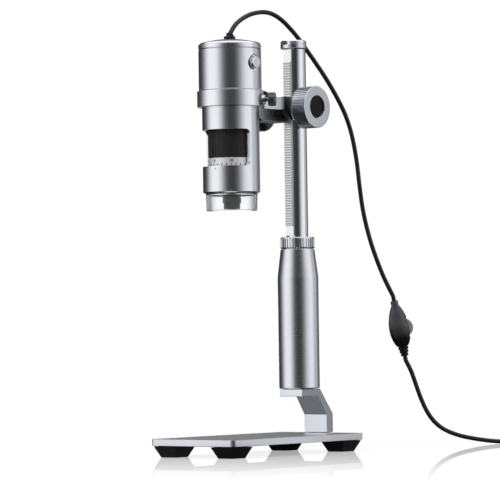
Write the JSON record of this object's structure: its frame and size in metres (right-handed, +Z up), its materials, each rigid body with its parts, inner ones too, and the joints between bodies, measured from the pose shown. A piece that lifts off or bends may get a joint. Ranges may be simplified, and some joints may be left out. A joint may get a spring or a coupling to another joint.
{
  "type": "usb digital microscope",
  "caption": "Hand-size digital microscope held lens down in a ring on a rack-and-pinion stand, with a thumbwheel dimmer on its lead.",
  "frame": {"origin": "on the table under the middle of the base plate", "axes": "+Z up, -Y to the front, where the microscope hangs, +X to its right-hand knob"},
  "size_m": [0.1189, 0.348, 0.2729],
  "materials": {
    "base_plate": "satin",
    "feet": "matt",
    "screws": "blackened",
    "bracket": "satin",
    "sleeve": "satin, turned",
    "nylon": "moulded",
    "collar": "knurled, plated",
    "post": "polished",
    "rack": "cut",
    "post_cap": "satin, turned",
    "focus_block": "satin",
    "holder": "satin",
    "bronze": "sintered",
    "knobs": "fluted, satin",
    "knob_insert": "matt",
    "thumbscrew": "knurled",
    "housing": "satin, turned",
    "grommet": "matt",
    "clear_nose": "clear acrylic",
    "light_board": "white",
    "circuit_board": "solder mask",
    "chip": "moulded",
    "dial": "ribbed",
    "scale": "silvered",
    "lens_barrel": "matt",
    "lens_glass": "polished",
    "button": "satin",
    "dimmer": "moulded",
    "dimmer_wheel": "notched",
    "plug_shell": "plated",
    "cord": "satin"
  },
  "bodies": {
    "stand": {"base_plate": "base_plate", "foot_front_left": "feet", "foot_front_right": "feet", "foot_rear_left": "feet", "foot_rear_right": "feet", "foot_screw_front_left": "screws", "foot_screw_front_right": "screws", "foot_screw_rear_left": "screws", "foot_screw_rear_right": "screws", "z_bracket": "bracket", "bracket_screw_left": "screws", "bracket_screw_right": "screws", "sleeve_bolt": "screws", "sleeve": "sleeve", "post_bush": "nylon", "cord_lower": "cord", "cord_coil": "cord", "plug_grip": "dimmer", "plug_shell": "plug_shell"},
    "lock_collar": {"lock_collar": "collar"},
    "post": {"post": "post", "rack": "rack", "post_cap": "post_cap", "cap_screw": "screws", "cord_drop": "cord", "dimmer_front_shell": "dimmer", "dimmer_rear_shell": "dimmer"},
    "dimmer_wheel": {"dimmer_wheel": "dimmer_wheel"},
    "carriage": {"focus_block": "focus_block", "holder_ring": "holder", "arm_screw_left": "screws", "arm_screw_right": "screws", "pinion_bush_left": "bronze", "pinion_bush_right": "bronze", "cord_arch": "cord"},
    "pinion": {"pinion_shaft": "rack", "focus_knob_left": "knobs", "focus_knob_right": "knobs", "knob_insert_left": "knob_insert", "knob_insert_right": "knob_insert", "knob_set_screw_left": "screws", "knob_set_screw_right": "screws"},
    "thumbscrew": {"thumbscrew": "thumbscrew"},
    "scope": {"lower_body": "housing", "upper_housing": "housing", "top_lid": "housing", "cord_grommet": "grommet", "nose_cap": "clear_nose", "light_board": "light_board", "sensor_board": "circuit_board", "image_sensor": "chip", "main_board": "circuit_board", "snap_switch": "chip"},
    "dial": {"focus_dial": "dial", "scale_ring": "scale"},
    "lens": {"lens_carriage": "lens_barrel", "lens_barrel": "lens_barrel", "front_lens": "lens_glass"},
    "snap_button": {"snap_button": "button"}
  },
  "joints": [
    {"name": "post_slide", "type": "slide", "parent": "stand", "child": "post", "axis": [0, 0, 1], "range_m": [0, 0.05], "deforming": ["cord_lower"]},
    {"name": "collar_turn", "type": "hinge", "parent": "stand", "child": "lock_collar", "pos_m": [0, 0.04045, 0.1289], "axis": [0, 0, 1], "range_deg": [-180, 180]},
    {"name": "dimmer_turn", "type": "hinge", "parent": "post", "child": "dimmer_wheel", "pos_m": [0.01177, 0.13319, 0.07561], "axis": [-0.6292, 0.7633, 0.1465], "range_deg": [-135, 135]},
    {"name": "focus_slide", "type": "slide", "parent": "post", "child": "carriage", "axis": [0, 0, 1], "range_m": [-0.066, 0.027], "deforming": ["cord_drop"]},
    {"name": "pinion_turn", "type": "hinge", "parent": "carriage", "child": "pinion", "pos_m": [0, 0.0284, 0.2113], "axis": [1, 0, 0], "range_deg": [-388, 947]},
    {"name": "thumbscrew_turn", "type": "hinge", "parent": "carriage", "child": "thumbscrew", "pos_m": [0, -0.0223, 0.2146], "axis": [0.848, 0.5299, 0], "range_deg": [-720, 0]},
    {"name": "scope_lift", "type": "slide", "parent": "carriage", "child": "scope", "axis": [0, 0, 1], "range_m": [0, 0.08], "deforming": ["cord_arch"]},
    {"name": "dial_turn", "type": "hinge", "parent": "scope", "child": "dial", "pos_m": [0, -0.0223, 0.18], "axis": [0, 0, 1], "range_deg": [-20, 280]},
    {"name": "lens_slide", "type": "slide", "parent": "scope", "child": "lens", "axis": [0, 0, 1], "range_m": [-0.0011, 0.0142]},
    {"name": "snap_press", "type": "slide", "parent": "scope", "child": "snap_button", "axis": [-1, 0, 0], "range_m": [0, 0.0008], "stiffness_N_per_m": 1000, "springref_m": -0.0005}
  ],
  "couplings": [
    {"joint": "pinion_turn", "follows": "focus_slide", "rad_per_m": -250},
    {"joint": "lens_slide", "follows": "dial_turn", "m_per_rad": 0.002865}
  ]
}
